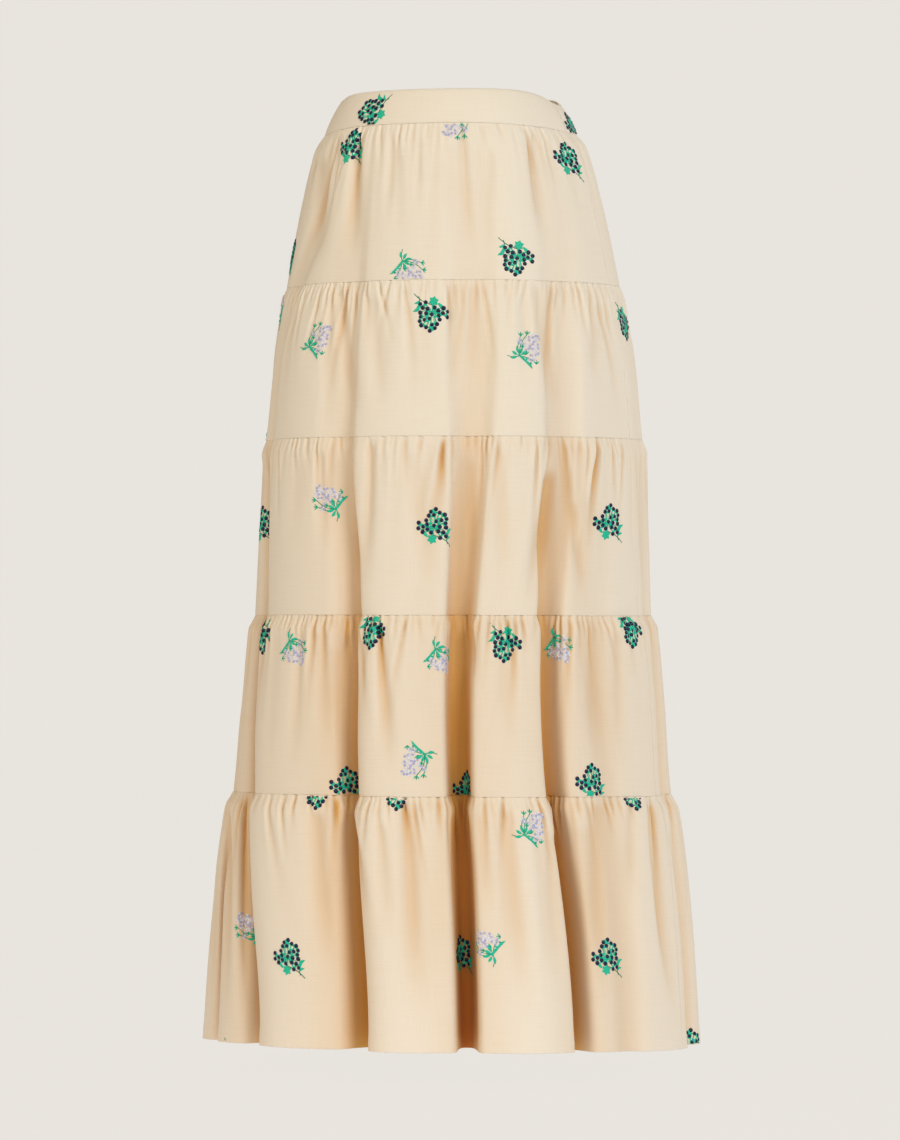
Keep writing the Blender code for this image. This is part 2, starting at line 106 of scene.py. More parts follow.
# Cloth: how finely each panel is meshed and how its edges are sewn.
cloth = {
    "bandStep": 2.1,
    "rowStep": 6.3,
    "rowPower": 1.3,  # above one, rows are closer together near the upper seam
    "thick": 0.7,
    "bandThick": 1.1,
    "roll": 0.45,  # an edge turns in this far at a seam
    "rollRun": 1.8,
    "allowance": 8.0,  # gathered seam allowance inside the tier above
    "allowanceRows": (1.0, 0.55, 0.15),
    "allowanceIn": 2.6,
    "allowanceSlope": 0.22,
    # painted shade amount on the seam allowance inside the tier above
    "allowanceShade": 0.3,
    "seamGap": 0.12,
    "puffs": ((12.0, 70.0), (14.0, 45.0)),  # the tier's own and the gathers' puff grow, and fade out
    "hemTurn": 13.0,
    "hemStep": 0.35,
    "sideFade": 9.0,  # gathers and creases die out this near to a side seam
    "facingFade": 60.0,  # the picture's own creases die out over this depth past the outline
    "foldFullShade": 52.0,  # millimetres of fold, crease and gather that each give the full painted shade
    "creaseFullShade": 24.0,
    "gatherFullShade": 8.0,
    "bandRows": (0.0, 0.35, 1.0, 2.0, 4.0, 8.0, 12.0, 17.0, 22.0, 27.0, 31.0, 32.8, 34.0, 34.94),
    "bandCut": (0.37, 0.036),  # metres
    "bandCrown": 2.2,
    "bandTopIn": 1.1,
    "sideIn": 0.3,  # share of the roll that the second column turns in, and the band's in mm
    "bandSideIn": 0.3,
}

# Each tier: its seams, the cloth cut for one half, the gathers' spacing, depth and longest reach,
# how far it puffs out, the mesh step across and the painted shade added all over the fuller tiers.
tierColumns = ("top", "bottom", "cut", "pleat", "rise", "reach", "puff", "step", "paintedTierShade")
tiers = [dict(zip(tierColumns, row)) for row in (
    (-17.5, -173.0, (500, 172), 6.5, 2.0, 78, 0.6, 1.5, 0.0),
    (-173.0, -326.0, (590, 170), 6.2, 2.4, 78, 0.6, 1.5, 0.0),
    (-326.0, -500.0, (710, 191), 6.5, 2.5, 74, 0.7, 1.5, 0.06),
    (-500.0, -675.0, (910, 192), 6.8, 2.8, 58, 1.0, 1.7, 0.13),
    (-675.0, -919.0, (1180, 275), 7.6, 3.6, 56, 1.2, 1.9, 0.1),
)]
bandTop, bandBottom = 17.5, -17.5


def ease(value):
    value = np.clip(value, 0.0, 1.0)
    return value * value * (3.0 - 2.0 * value)


def slopes(xs, ys):
    # Slopes for a curve through the rows that never overshoots them.
    steps = np.diff(ys) / np.diff(xs)
    made = np.zeros_like(ys)
    made[0], made[-1] = steps[0], steps[-1]
    for i in range(1, len(ys) - 1):
        a, b = steps[i - 1], steps[i]
        made[i] = 0.0 if a * b <= 0.0 else 2.0 * a * b / (a + b)
    return made


rowHeights, *rowValues = np.array(form["sections"], dtype=float)[::-1].T
rowCurves = {name: (values, slopes(rowHeights, values))
             for name, values in zip(form["columns"][1:], rowValues)}


def sectionAt(height):
    height = min(max(height, rowHeights[0]), rowHeights[-1])
    i = min(max(int(np.searchsorted(rowHeights, height)) - 1, 0), len(rowHeights) - 2)
    run = rowHeights[i + 1] - rowHeights[i]
    t = (height - rowHeights[i]) / run
    made = {}
    for name, (values, rates) in rowCurves.items():
        a = values[i] * (2 * t ** 3 - 3 * t ** 2 + 1) + rates[i] * run * (t ** 3 - 2 * t ** 2 + t)
        b = values[i + 1] * (3 * t ** 2 - 2 * t ** 3) + rates[i + 1] * run * (t ** 3 - t ** 2)
        made[name] = a + b
    return made


def foldAngle(fold, height):
    heights = form["foldHeights"]
    angles = [fold[name] for name in form["foldColumns"][:4]]
    for i in range(len(heights) - 1):
        if height >= heights[i + 1]:
            share = float(ease((heights[i] - height) / (heights[i] - heights[i + 1])))
            return angles[i] + (angles[i + 1] - angles[i]) * share
    return angles[-1]


def ringAt(angles, height):
    # Outer surface at one height: points and how deep each lies in a fold.
    section = sectionAt(height)
    turn = np.radians(angles)
    wide, deep = section["halfWidth"], section["halfDepth"]
    sine, cosine = np.sin(turn), np.cos(turn)
    radius = np.hypot(wide * cosine, deep * sine)
    inward = np.zeros_like(turn)
    sideways = np.zeros_like(turn)
    upper, lower = form["foldHeights"][-2:]
    lowShare = float(ease((upper - height) / (upper - lower)))
    lobe, lobeWidth = form["overhangAt"]
    for fold in folds:
        offset = (angles - foldAngle(fold, height) + 180.0) % 360.0 - 180.0
        width = section["foldWidth"] * np.where(offset < 0.0, fold["before"], fold["after"])
        width = width * (1.0 + (fold["hemWidth"] - 1.0) * lowShare)
        x = np.radians(offset) * radius / width
        share = form["steepPart"] * np.exp(-np.abs(x) ** fold["steep"])
        share += (1.0 - form["steepPart"]) * np.exp(-(x / form["spreadWidth"]) ** 2)
        depth = section["foldDepth"] * fold["depth"]
        full = min(depth / form["fullDepth"], 1.0)
        inward += depth * share
        onLobe = np.exp(-((np.abs(x) - lobe) / lobeWidth) ** 2)
        sideways -= form["overhang"] * width * full * np.sign(x) * onLobe
        sideways += fold["lean"] * full * share
    alongX, alongY = wide * cosine / radius, deep * sine / radius
    x = wide * sine + alongX * sideways - alongY * inward
    y = section["shift"] - deep * cosine + alongY * sideways + alongX * inward
    z = height - section["drop"] * abs(sine) ** section["power"]
    return np.stack([x, y, z], axis=-1), inward


def valleyMarks(start, end, height):
    angles = [foldAngle(fold, height) for fold in folds]
    angles = [angle + 360.0 if angle < start else angle for angle in angles]
    return sorted([start, end, *(angle for angle in angles if start < angle < end)])


def stretchAngles(a, b, height, count):
    # Angles that part one stretch of cloth into equal lengths.
    fine = np.linspace(a, b, 12 * count + 25)
    points, _ = ringAt(fine, height)
    lengths = np.linalg.norm(np.diff(points, axis=0), axis=1)
    walked = np.concatenate([[0.0], np.cumsum(lengths)])
    return np.interp(np.linspace(0.0, walked[-1], count + 1), walked, fine), walked[-1]


def columnCounts(start, end, height, step):
    marks = valleyMarks(start, end, height)
    lengths = [stretchAngles(a, b, height, 8)[1] for a, b in zip(marks, marks[1:])]
    return [max(int(round(length / step)), 2) for length in lengths]


def ringAngles(start, end, height, counts):
    marks = valleyMarks(start, end, height)
    parts = []
    length = 0.0
    for a, b, count in zip(marks, marks[1:], counts):
        angles, run = stretchAngles(a, b, height, count)
        parts.append(angles if not parts else angles[1:])
        length += run
    return np.concatenate(parts), length


def levelNormals(points):
    run = np.gradient(points, axis=0)
    normals = np.stack([run[:, 1], -run[:, 0], np.zeros(len(run))], axis=-1)
    return normals / np.linalg.norm(normals, axis=1)[:, None]


viewTurn = math.radians(view["azimuth"])
viewBack = np.array([math.sin(viewTurn), -math.cos(viewTurn), 0.0])
viewRight = np.array([math.cos(viewTurn), math.sin(viewTurn), 0.0])


def framePlace(points):
    # Where points lie in the picture, in millimetres from its middle.
    near = view["distance"] / (view["distance"] - points @ viewBack)
    return (points @ viewRight) * near, (points[..., 2] - view["centreHeight"]) * near


# Creases placed in front, by tier: how far right of the skirt's middle each shows at its top
# and its end, its start and end below the tier's seam, its depth and its width.
creases = {
    "deepen": 1.7,
    "start": 14.0,  # a crease takes this long to reach its depth
    "front": {
        1: ((-130, -133, 20, 150, 2.2, 9), (-93, -100, 6, 152, 3.0, 8), (-58, -66, 5, 110, 2.0, 6),
            (-31, -34, 8, 90, 1.5, 5), (12, 20, 5, 150, 2.2, 7), (40, 38, 20, 95, 1.3, 6),
            (82, 96, 4, 130, 2.6, 7), (98, 112, 10, 70, 1.2, 6), (-110, -116, 0, 60, 1.4, 5)),
        2: ((-119, -128, 10, 120, 1.8, 7), (-111, -92, 0, 150, 2.2, 8), (-79, -70, 10, 140, 1.6, 8),
            (-41, -38, 20, 130, 1.4, 8), (23, 22, 0, 110, 1.6, 7), (74, 80, 10, 120, 1.6, 8),
            (86, 112, 0, 150, 2.0, 8), (149, 146, 15, 110, 1.4, 8), (5, -4, 0, 150, 1.6, 7)),
        3: ((-79, -90, 0, 160, 2.6, 8), (48, 56, 6, 170, 2.0, 9), (132, 128, 0, 140, 2.0, 8),
            (184, 190, 10, 150, 1.6, 8), (-40, -30, 10, 120, 1.2, 9), (-130, -128, 10, 130, 1.4, 7),
            (100, 78, 30, 170, 3.2, 8), (122, 140, 60, 170, 2.4, 8)),
        4: ((-69, -60, 5, 165, 2.2, 9), (141, 150, 0, 150, 1.8, 9), (168, 173, 10, 165, 1.8, 8),
            (-130, -125, 10, 150, 1.6, 9), (55, 52, 10, 120, 1.3, 9), (22, 30, 0, 80, 1.2, 6),
            (-150, -160, 10, 160, 1.4, 7)),
        5: ((-44, -30, 0, 235, 3.2, 13), (56, 81, 6, 225, 3.0, 12), (147, 157, 0, 215, 3.0, 14),
            (200, 232, 0, 240, 3.2, 6), (-135, -120, 10, 190, 2.4, 13), (100, 110, 30, 200, 1.6, 9),
            (30, 38, 10, 120, 2.0, 8), (-70, -64, 20, 150, 1.8, 9), (180, 186, 0, 110, 2.0, 8),
            (-222, -227, 0, 240, 2.8, 5), (-206, -207, 0, 240, 3.4, 6),
            (-236, -240, 10, 240, 2.2, 5)),
    },
    # Random ones of the same kinds, full on the hidden sides and fainter in front: how many in each
    # tier, and ranges of slant, start, end as a share of the tier, depth and width.
    "hiddenCount": (8, 8, 9, 10, 13),
    "hiddenRanges": ((-0.035, 0.035), (0.0, 30.0), (0.6, 1.0), (2.0, 4.4), (5.0, 9.5)),
    "hiddenFade": 0.62,
}


# Gathers: each kind's upper bound of chance with its least and most reach, then ranges of depth,
# width, widening on the way down, slant and gaps.
gathers = {
    "kinds": ((0.45, 0.12, 0.28), (0.86, 0.30, 0.62), (1.0, 0.7, 1.2)),
    "depth": (0.3, 1.65),
    "width": (0.9, 1.8),
    "spread": (0.015, 0.06),
    "slant": 0.09,
    "gaps": (0.45, 0.6, 0.8, 1.0, 1.3, 1.9),
    "gapChange": (0.85, 1.15),
    "ridge": (0.3, 2.0, 0.9),  # height, place and width of the ridges beside a gather
    "atSeam": 0.4,
    "grownAt": 10.0,
    "seeds": {"front": 7, "back": 53},
}


def makePleats(rng, tier, length):
    # Pleats under a seam: uneven in place, depth, width, slant and length.
    made = []
    place = rng.uniform(0.2, 0.8) * tier["pleat"]
    while place < length - 2.0:
        kind = rng.random()
        reach = next(rng.uniform(least, most) for bound, least, most in gathers["kinds"] if kind < bound)
        made.append({
            "place": place,
            "depth": tier["rise"] * rng.uniform(*gathers["depth"]) * (0.8 + 0.4 * reach),
            "width": rng.uniform(*gathers["width"]),
            "spread": rng.uniform(*gathers["spread"]),
            "slant": rng.gauss(0.0, gathers["slant"]),
            "reach": tier["reach"] * reach,
        })
        place += tier["pleat"] * rng.choice(gathers["gaps"]) * rng.uniform(*gathers["gapChange"])
    return made


def pleatField(pleats, along, below):
    dip = np.zeros((len(below), len(along)))
    down = below[:, None]
    ridge, ridgeAt, ridgeWidth = gathers["ridge"]
    grown = gathers["atSeam"] + (1.0 - gathers["atSeam"]) * ease(down / gathers["grownAt"])
    for pleat in pleats:
        width = pleat["width"] + pleat["spread"] * np.clip(down, 0.0, None)
        x = (along[None, :] - pleat["place"] - pleat["slant"] * down) / width
        near = np.exp(-x * x) - ridge * np.exp(-((np.abs(x) - ridgeAt) / ridgeWidth) ** 2)
        fade = np.exp(-(np.clip(down, 0.0, None) / pleat["reach"]) ** 1.5) * grown
        dip += pleat["depth"] * near * fade
    return dip


def creaseRun(down, start, share):
    # A crease grows from its start and dies out over its lower half.
    return ease((down - start) / creases["start"]) * (1.0 - ease(share / 0.55 - 0.8))


def creaseField(tierNumber, across, facing, below):
    dip = np.zeros_like(across)
    down = below[:, None]
    for acrossTop, acrossEnd, start, end, depth, width in creases["front"][tierNumber]:
        share = np.clip((down - start) / (end - start), 0.0, 1.0)
        middle = acrossTop + (acrossEnd - acrossTop) * share ** 1.3
        x = (across - middle) / (width * (0.6 + 0.45 * share))
        inside = creaseRun(down, start, share)
        dip += creases["deepen"] * depth * np.exp(-x * x) * inside * facing
    return dip


def hiddenCreases(rng, tierIndex, angles, facing, below):
    # Long soft troughs all round, fainter where the front's own creases are.
    tier = tiers[tierIndex]
    high = tier["top"] - tier["bottom"]
    radius = sectionAt(tier["bottom"])["halfDepth"]
    dip = np.zeros_like(angles)
    down = below[:, None]
    low, top = float(angles.min()), float(angles.max())
    for _ in range(creases["hiddenCount"][tierIndex]):
        middle = rng.uniform(low, top)
        slant, start, end, depth, width = (rng.uniform(*ends) for ends in creases["hiddenRanges"])
        x = np.radians(angles - middle - slant * down) * radius / width
        inside = creaseRun(down, start, (down - start) / (high * end - start))
        dip += depth * np.exp(-x * x) * inside * (1.0 - creases["hiddenFade"] * facing)
    return dip


def rowDistances(high):
    # Rows are closest at the seams, where the cloth turns in.
    edge, gap = cloth["rollRun"], cloth["seamGap"] / 2
    count = int(round((high - 2 * edge) / cloth["rowStep"]))
    middle = [edge + (high - 2 * edge) * (i / count) ** cloth["rowPower"] for i in range(count + 1)]
    return np.array([gap, edge * 0.45, *middle, high - edge * 0.45, high - gap])


def ringRows(side, top, bottom, step, below):
    # The form's points at each distance below a seam, with normals, angles and depth in a fold.
    start = form["leftSeam"] - (180.0 if side == "front" else 0.0)
    end = start + 180.0
    counts = columnCounts(start, end, bottom, step)
    rows = []
    for distance in below:
        angles, _ = ringAngles(start, end, top - distance, counts)
        row, inward = ringAt(angles, top - distance)
        rows.append((row, levelNormals(row), angles, inward))
    length = ringAngles(start, end, top, counts)[1]
    return [np.array(column) for column in zip(*rows)] + [length]


def clothPanel(tierIndex, side):
    # One half of a tier as a grid of points.
    tier = tiers[tierIndex]
    high = tier["top"] - tier["bottom"]
    below = rowDistances(high)
    points, normals, angles, fold, seamLength = ringRows(
        side, tier["top"], tier["bottom"], tier["step"], below)
    along = np.linspace(0.0, seamLength, points.shape[1])
    rng = random.Random(100 * tierIndex + gathers["seeds"][side])
    pleats = pleatField(makePleats(rng, tier, seamLength), along, below)
    across, _ = framePlace(points)
    facing = ease((points @ viewBack) / cloth["facingFade"] + 0.5)
    hanging = creaseField(tierIndex + 1, across, facing, below)
    hanging += hiddenCreases(rng, tierIndex, angles, facing, below)
    sideEdge = np.minimum(along, seamLength - along)[None, :]
    atEdge = 0.25 + 0.75 * ease(sideEdge / cloth["sideFade"])
    pleats, hanging = pleats * atEdge, hanging * atEdge
    down = below[:, None]
    puff, full = (ease(down / grown) * np.exp(-(down / gone) ** 2) for grown, gone in cloth["puffs"])
    puff, full = tier["puff"] * puff, 0.4 * tier["rise"] * full
    points = points + normals * (puff + full - pleats - hanging)[..., None]
    points = turnEdges(points, normals, below, high, tierIndex)
    # Painted shade amount: the tier's own, plus the fold, creases and gathers the point lies in.
    dip = tier["paintedTierShade"] + fold / cloth["foldFullShade"] + hanging / cloth["creaseFullShade"]
    dip += np.clip(pleats, 0.0, None) / cloth["gatherFullShade"]
    return newPanel(points, below, high, dip, tierIndex + 1, "tier_%d_%s" % (tierIndex + 1, side))


def newPanel(points, below, high, dip, tierNumber, name):
    return {
        "points": points, "normals": gridNormals(points), "below": below, "high": high, "dip": dip,
        "tierNumber": tierNumber, "name": name,
    }


def turnSides(points, normals, second):
    # The outermost columns turn in at the side seams, the next ones less.
    for column, inward in ((0, cloth["roll"]), (1, second), (-1, cloth["roll"]), (-2, second)):
        points[:, column] -= normals[:, column] * inward


def turnEdges(points, normals, below, high, tierIndex):
    # Seam edges turn in and leave a fine groove; the hem turns under.
    points = points.copy()
    roll, run = cloth["roll"], cloth["rollRun"]
    last = tierIndex == len(tiers) - 1
    for r, distance in enumerate(below):
        edge = distance if last else min(distance, high - distance)
        turned = roll * (1.0 - float(ease(edge / run)))
        points[r] -= normals[r] * turned
    turnSides(points, normals, roll * cloth["sideIn"])
    if last:
        fromHem = high - below
        step = cloth["hemStep"] * (1.0 - ease((fromHem - cloth["hemTurn"]) / 1.5))
        points += normals * step[:, None, None]
    return points


def gridNormals(points):
    acrossRun = np.gradient(points, axis=1)
    downRun = np.gradient(points, axis=0)
    made = np.cross(downRun, acrossRun)
    return made / np.linalg.norm(made, axis=2)[..., None]


def mappedObject(name, points, faces, mapName, places):
    # A new object from points and map places in millimetres.
    mesh = bpy.data.meshes.new(name)
    mesh.from_pydata((np.array(points).reshape(-1, 3) * mm).tolist(), [], faces)
    loops = np.empty(len(mesh.loops), dtype=np.int32)
    mesh.loops.foreach_get("vertex_index", loops)
    layer = mesh.uv_layers.new(name=mapName)
    layer.data.foreach_set("uv", (np.array(places) * mm)[loops].astype(np.float32).ravel())
    obj = bpy.data.objects.new(name, mesh)
    bpy.context.scene.collection.objects.link(obj)
    return obj


def panelMesh(name, panel, thick):
    # Grid of faces with a cloth map and each point's painted shade amount.
    points = panel["points"]
    rows, columns = points.shape[:2]
    index = np.arange(rows * columns).reshape(rows, columns)
    faces = np.stack([index[:-1, :-1], index[1:, :-1], index[1:, 1:], index[:-1, 1:]], axis=-1)
    spacing = np.linalg.norm(np.diff(points, axis=1), axis=2).mean()
    mapDown, mapAcross = np.meshgrid(panel["below"], np.arange(columns) * spacing, indexing="ij")
    places = np.stack([mapAcross.ravel(), mapDown.ravel()], axis=-1)
    obj = mappedObject(name, points, faces.reshape(-1, 4).tolist(), "clothMap", places)
    # Each point's painted shade amount, which darkens the cloth's colour.
    paintedShadeAmount = obj.data.attributes.new("paintedShadeAmount", "FLOAT", "POINT")
    paintedShadeAmount.data.foreach_set("value", panel["dip"].ravel().astype(np.float32))
    obj.data.shade_smooth()
    wall = obj.modifiers.new("cloth", "SOLIDIFY")
    wall.thickness = thick * mm
    wall.offset = -1.0
    bpy.context.view_layer.objects.active = obj
    bpy.ops.object.select_all(action="DESELECT")
    obj.select_set(True)
    bpy.ops.object.modifier_apply(modifier=wall.name)
    return obj


# Materials. Colours are sRGB hex values.
def linear(hexColour):
    parts = [int(hexColour[i:i + 2], 16) / 255.0 for i in (1, 3, 5)]
    return tuple(p / 12.92 if p <= 0.04045 else ((p + 0.055) / 1.055) ** 2.4 for p in parts) + (1.0,)


def mixColours(tree, low, high, factor, kind="MIX"):
    # Mixes two colours, each a hex value or a socket, by a factor socket.
    node = addNode(tree, "ShaderNodeMix", {"data_type": "RGBA", "blend_type": kind})
    for place, colour in ((6, low), (7, high)):
        if isinstance(colour, str):
            node.inputs[place].default_value = linear(colour)
        else:
            tree.links.new(colour, node.inputs[place])
    tree.links.new(factor, node.inputs[0])
    return node.outputs[2]


def addNode(tree, kind, settings=None, links=None):
    # Adds a node with its settings and links.
    node = tree.nodes.new(kind)
    settings = dict(settings or {})
    for key in [key for key in settings if hasattr(node, key)]:
        setattr(node, key, settings.pop(key))
    fillSockets(tree, node, settings, links or {})
    return node


def fillSockets(tree, node, values, links):
    for key, value in values.items():
        node.inputs[key].default_value = value
    for key, source in links.items():
        tree.links.new(source, node.inputs[key])


def addBump(tree, height, strength, distance):
    settings = {"Strength": strength, "Distance": distance}
    return addNode(tree, "ShaderNodeBump", settings, {"Height": height}).outputs["Normal"]


def mapPlace(tree, mapName, across, along):
    # A mesh's map scaled to cycles a millimetre.
    uv = addNode(tree, "ShaderNodeUVMap", {"uv_map": mapName})
    place = addNode(tree, "ShaderNodeMapping", {"Scale": (across / mm, along / mm, 1.0)},
                    {"Vector": uv.outputs["UV"]})
    return place.outputs["Vector"]


def mapNoise(tree, mapName, scale, detail):
    settings = {"noise_dimensions": "2D", "Scale": 1.0, "Detail": detail}
    place = mapPlace(tree, mapName, *scale)
    return addNode(tree, "ShaderNodeTexNoise", settings, {"Vector": place}).outputs["Fac"]


def newMaterial(name):
    material = bpy.data.materials.new(name)
    material.use_nodes = True
    return material, material.node_tree, material.node_tree.nodes["Principled BSDF"]


linen = {
    "slubs": ((0.9, 0.035), (0.03, 0.9)),  # cycles a millimetre of the slubs in warp and weft
    "slubStrength": 0.22,
    "sheen": 0.12,
    "lit": "#F1EDE4",
    # Painted shade colours for the folds, and the painted shade amount where each sets in and is full.
    "paintedShade": (("#D6A458", -0.1, 0.95), ("#BE6E2C", 0.95, 1.4)),
    "slub": "#F0E6D4",
    "thread": 0.55,  # thread spacing in millimetres, drawn at twice its real size to show
    "roughness": 0.88,
    "specular": 0.25,
    "bump": 0.12,
}


def clothMaterial():
    # Plain woven cotton and linen: matt, faint slubs both ways, and painted shade, golden then brown,
    # where the cloth folds in.
    material, tree, shader = newMaterial("plainWovenCottonLinen")
    both = addNode(tree, "ShaderNodeMath", {"operation": "ADD"})
    for place, scale in enumerate(linen["slubs"]):
        tree.links.new(mapNoise(tree, "clothMap", scale, 3.0), both.inputs[place])
    slubs = addNode(tree, "ShaderNodeMapRange",
                    {"From Min": 0.9, "From Max": 1.5, "To Min": 0.0, "To Max": linen["slubStrength"]},
                    {"Value": both.outputs["Value"]})
    cycles = 0.5 / linen["thread"]
    weave = addNode(tree, "ShaderNodeTexChecker", {"Scale": 1.0},
                    {"Vector": mapPlace(tree, "clothMap", cycles, cycles)})
    paintedShadeAmount = addNode(tree, "ShaderNodeAttribute", {"attribute_name": "paintedShadeAmount"})
    colour = linen["lit"]
    # Painted shade: the colour goes golden, then brown in the deepest folds, with each point's painted
    # shade amount.
    for paintedShade, least, most in linen["paintedShade"]:
        step = addNode(tree, "ShaderNodeMapRange",
                       {"interpolation_type": "SMOOTHSTEP", "From Min": least, "From Max": most},
                       {"Value": paintedShadeAmount.outputs["Fac"]})
        colour = mixColours(tree, colour, paintedShade, step.outputs["Result"])
    colour = mixColours(tree, colour, linen["slub"], slubs.outputs["Result"], "MULTIPLY")
    height = addNode(tree, "ShaderNodeMath", {"operation": "MULTIPLY_ADD"})
    tree.links.new(weave.outputs["Fac"], height.inputs[0])
    height.inputs[1].default_value = 0.35
    tree.links.new(both.outputs["Value"], height.inputs[2])
    bump = addBump(tree, height.outputs["Value"], linen["bump"], 0.0004)
    values = {"Roughness": linen["roughness"], "Specular IOR Level": linen["specular"],
              "Sheen Weight": linen["sheen"], "Sheen Roughness": 0.5}
    fillSockets(tree, shader, values, {"Base Color": colour, "Normal": bump})
    return material


# Embroidery threads: name, lit and dark colour of the painted sheen, and where not usual roughness,
# sheen.
threads = {
    "berry": ("navyRayonThread", "#1C2758", "#060A26", 0.35, 0.0),
    "leaf": ("jadeRayonThread", "#1FDCBC", "#08A788"),
    "darkLeaf": ("pineRayonThread", "#17B391", "#078064"),
    "stem": ("sageRayonThread", "#2E9A7C", "#176B52"),
    "petal": ("lilacRayonThread", "#C3C8F0", "#959CD3"),
    "whitePetal": ("whiteRayonThread", "#F1F2FA", "#C6C9E2"),
    "centre": ("primroseRayonThread", "#F2DC86", "#D9B95A"),
}
kindIndex = {name: i for i, name in enumerate(threads)}
stitchWidth = 0.7  # millimetres


def threadMaterial(name, light, dark, roughness=0.45, sheen=0.08):
    # Rayon thread: satin stitches with a painted sheen, streaks of lit and dark colour along their
    # length.
    material, tree, shader = newMaterial(name)
    grain = mapNoise(tree, "stitchMap", (1.0 / stitchWidth, 0.12 / stitchWidth), 2.0)
    # Painted sheen: the grain's streaks mix the dark and the lit thread colour.
    spread = addNode(tree, "ShaderNodeMapRange", {"From Min": 0.35, "From Max": 0.68}, {"Value": grain})
    colour = mixColours(tree, dark, light, spread.outputs["Result"])
    values = {"Roughness": roughness, "Sheen Weight": sheen, "Specular IOR Level": 0.3}
    links = {"Base Color": colour, "Normal": addBump(tree, grain, 0.5, 0.0003)}
    fillSockets(tree, shader, values, links)
    return material


# Embroidered sprigs. Sizes in millimetres on the cloth, measured from a sprig's middle.
sprig = {
    "berryRadius": 2.25,
    "berryHeight": 0.9,
    # Berries are strewn over a lobed patch: how many, its radius and lobes, and the least gap.
    "berryCount": 25,
    "clusterRadius": 15.4,
    "clusterLobe": 0.15,
    "clusterMiddle": (0.0, -2.5),
    "berryGap": 4.0,
    "lobedLeaf": ((3.0, 11.5), 5.2),
    "smallLeafLength": 6.8,
    "flowerRadius": 3.05,
    "flowers": (
        (-6.5, 8.5), (-1, 6), (3.5, 11), (5.5, 5), (10, 8.5), (14.5, 12), (1.5, 1), (8, 0.5),
        (12.5, 3.5), (11, -3.5), (6.5, -5.5), (3, -9.5), (9, 13.5), (8, -10),
    ),
    "heartLeaves": ((103, 9.5), (146, 8), (190, 8.5), (28, 9.5), (64, 8)),
    "buds": ((-5, 13.5), (2, 15), (-3.5, 2), (0.5, -4.5), (10, -14)),
    "stemRadius": 0.42,
    "lift": 0.1,
    "margin": (0.4, 1.0),  # sprigs are cut off this near to a panel's sides, in columns, and ends, in mm
    "nearRow": 9,  # columns at each side that give the columns' spacing
    "missRoom": (16.0, 40.0),  # extra squared miss, in a panel and between panels
    "behind": -55.0,  # hidden sprigs are sewn where the cloth lies this far back
    # Picture places of the sprigs that show: by tier, kind, x and y in the frame, and turn.
    "shown": {
        0: (("B", 368, 112, -90), ("B", 580, 128, 180)),
        1: (("B", 347, 147, 180), ("F", 456, 121, 180), ("B", 572, 160, 172), ("B", 284, 258, 180),
            ("F", 405, 268, -90), ("B", 518, 257, 0)),
        2: (("B", 428, 313, 0), ("F", 312, 341, 0), ("F", 529, 350, 0), ("B", 628, 322, 0),
            ("F", 268, 312, 90), ("F", 262, 450, 0), ("F", 468, 454, 0)),
        3: (("F", 327, 502, 90), ("B", 257, 525, 180), ("B", 432, 527, 180), ("B", 613, 523, 180),
            ("B", 551, 634, 0)),
        4: (("B", 262, 635, 0), ("F", 290, 648, -90), ("B", 368, 630, 0), ("F", 444, 656, -90),
            ("B", 505, 643, 0), ("F", 553, 645, -90), ("B", 635, 629, 0), ("F", 415, 760, 180),
            ("B", 350, 786, 180), ("B", 464, 790, 180), ("B", 596, 783, 180)),
        5: (("B", 316, 790, 0), ("B", 395, 791, 0), ("F", 533, 829, 0), ("B", 636, 791, 0),
            ("F", 248, 930, 90), ("B", 285, 958, 180), ("B", 463, 955, 180), ("F", 483, 947, 90),
            ("B", 611, 958, 180), ("B", 694, 1048, 180), ("B", 230, 1058, 0)),
    },
    # Rows of sprigs on the sides and back: tier and millimetres below its seam, staggered.
    "hiddenRows": (
        (1, 30), (1, 112), (2, 58), (2, 150), (3, 70), (3, 168), (4, 30), (4, 130), (5, 45), (5, 160),
    ),
    "hiddenStep": 118.0,
    "turns": {"B": (0.0, 180.0), "F": (0.0, 90.0, -90.0, 180.0)},
    "seed": 11,
}


class StitchMesh:
    # Raised stitches: points and map places in millimetres, faces and kinds of thread.
    def __init__(self):
        self.points, self.faces, self.kinds, self.maps = [], [], [], []

    def addGrid(self, grid, kind, closed=False):
        # Each row of the grid holds pairs of a point and its place in the map.
        base = len(self.points)
        rows, columns = len(grid), len(grid[0])
        for point, place in (pair for row in grid for pair in row):
            self.points.append(point)
            self.maps.append(place)
        wrap = columns if closed else columns - 1
        for r in range(rows - 1):
            for c in range(wrap):
                d = (c + 1) % columns
                a = base + r * columns
                self.faces.append((a + c, a + d, a + columns + d, a + columns + c))
                self.kinds.append(kind)


def spun(point, turn):
    c, s = math.cos(turn), math.sin(turn)
    return point[0] * c - point[1] * s, point[0] * s + point[1] * c


def addBerry(stitches, centre, radius, height, turn, kind, around=10):
    # A round of satin stitches, domed.
    grid = []
    for ring, lift in ((1.0, 0.0), (0.86, 0.62), (0.5, 0.96), (0.03, 1.06)):
        row = []
        for i in range(around):
            angle = 2.0 * math.pi * i / around
            x, y = radius * ring * math.cos(angle), radius * ring * math.sin(angle)
            row.append(((centre[0] + x, centre[1] + y, height * lift), spun((x, y), turn)))
        grid.append(row)
    stitches.addGrid(grid, kind, closed=True)


